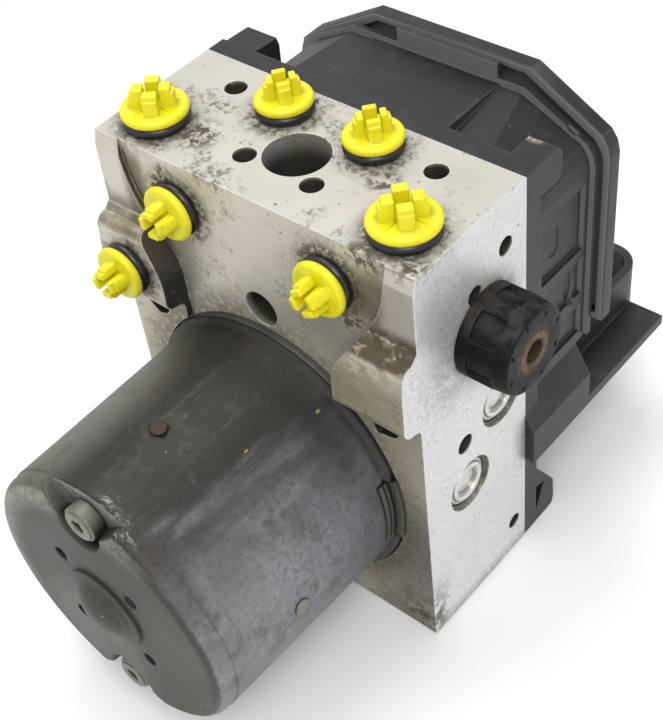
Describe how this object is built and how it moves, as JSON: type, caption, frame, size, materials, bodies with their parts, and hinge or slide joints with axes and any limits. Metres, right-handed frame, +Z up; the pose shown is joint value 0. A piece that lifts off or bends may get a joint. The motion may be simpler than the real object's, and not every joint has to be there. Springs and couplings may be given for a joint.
{
  "type": "abs brake module",
  "caption": "Brake pressure modulator: machined valve block with a pump motor in front, a black controller behind and yellow transport plugs in its ports.",
  "frame": {"origin": "centre of the valve block's bottom face", "axes": "+X across the ports to the bush side, +Y from the motor to the controller, +Z up towards the top ports"},
  "size_m": [0.1173, 0.1924, 0.1448],
  "materials": {
    "aluminium": "machined, with swirl marks and dark grime",
    "can_steel": "worn grey-brown coating",
    "steel": "satin",
    "bright_steel": "bright, turned",
    "magnet": "matt ferrite",
    "brown_plastic": "moulded",
    "carbon": "matt",
    "bronze": "sintered",
    "copper": "enamelled wire",
    "core_iron": "laminated",
    "rubber": "smooth",
    "old_rubber": "weathered, with dust and rust stains",
    "rusty_steel": "rusty",
    "black_plastic": "glass-filled, fine grain",
    "plug_yellow": "smooth",
    "board_green": "solder resist",
    "chip_black": "moulded",
    "pin_gold": "plated"
  },
  "bodies": {
    "unit": {"valve_block": "aluminium", "motor_can": "can_steel", "motor_end_shield": "steel", "motor_screws": "steel", "motor_rivets": "bright_steel", "motor_magnets": "magnet", "brush_plate": "brown_plastic", "motor_brushes": "carbon", "brush_springs": "steel", "end_bush": "bronze", "shield_bearing_outer": "steel", "pump_pistons": "steel", "pump_springs": "steel", "pump_sleeves": "steel", "pump_caps": "bright_steel", "damper_caps": "bright_steel", "accumulator_spring_left": "steel", "accumulator_spring_right": "steel", "accumulator_caps": "bright_steel", "valve_domes": "bronze", "valve_coils": "copper", "coil_yokes": "core_iron", "ecu_housing": "black_plastic", "ecu_gasket": "rubber", "ecu_cover": "black_plastic", "circuit_board": "board_green", "board_parts": "chip_black", "connector_pins": "pin_gold", "ecu_screws": "steel", "plug_big_left": "plug_yellow", "plug_big_right": "plug_yellow", "plug_small_left": "plug_yellow", "plug_small_right": "plug_yellow", "plug_pocket_left": "plug_yellow", "plug_pocket_right": "plug_yellow", "plug_ridge": "plug_yellow", "seal_rings_large": "rubber", "seal_rings_small": "rubber", "bushing_rubber": "old_rubber", "bushing_sleeve": "rusty_steel"},
    "armature": {"armature_shaft": "steel", "armature_core": "core_iron", "armature_winding": "copper", "commutator": "copper", "shield_bearing_inner": "steel", "shield_bearing_balls": "bright_steel"},
    "pump_ring": {"eccentric_ring": "steel", "eccentric_needles": "bright_steel"},
    "accumulator_left": {"accumulator_piston_left": "bright_steel", "accumulator_ring_left": "rubber"},
    "accumulator_right": {"accumulator_piston_right": "bright_steel", "accumulator_ring_right": "rubber"}
  },
  "joints": [
    {"name": "armature_spin", "type": "hinge", "parent": "unit", "child": "armature", "pos_m": [0, -0.05, 0.049], "axis": [0, 1, 0], "continuous": true},
    {"name": "ring_spin", "type": "hinge", "parent": "armature", "child": "pump_ring", "pos_m": [0.0012, -0.00355, 0.049], "axis": [0, 1, 0], "continuous": true},
    {"name": "accumulator_left_slide", "type": "slide", "parent": "unit", "child": "accumulator_left", "axis": [0, 0, -1], "range_m": [0, 0.008], "stiffness_N_per_m": 2000, "springref_m": -0.004, "deforming": ["accumulator_spring_left"]},
    {"name": "accumulator_right_slide", "type": "slide", "parent": "unit", "child": "accumulator_right", "axis": [0, 0, -1], "range_m": [0, 0.008], "stiffness_N_per_m": 2000, "springref_m": -0.004, "deforming": ["accumulator_spring_right"]}
  ]
}
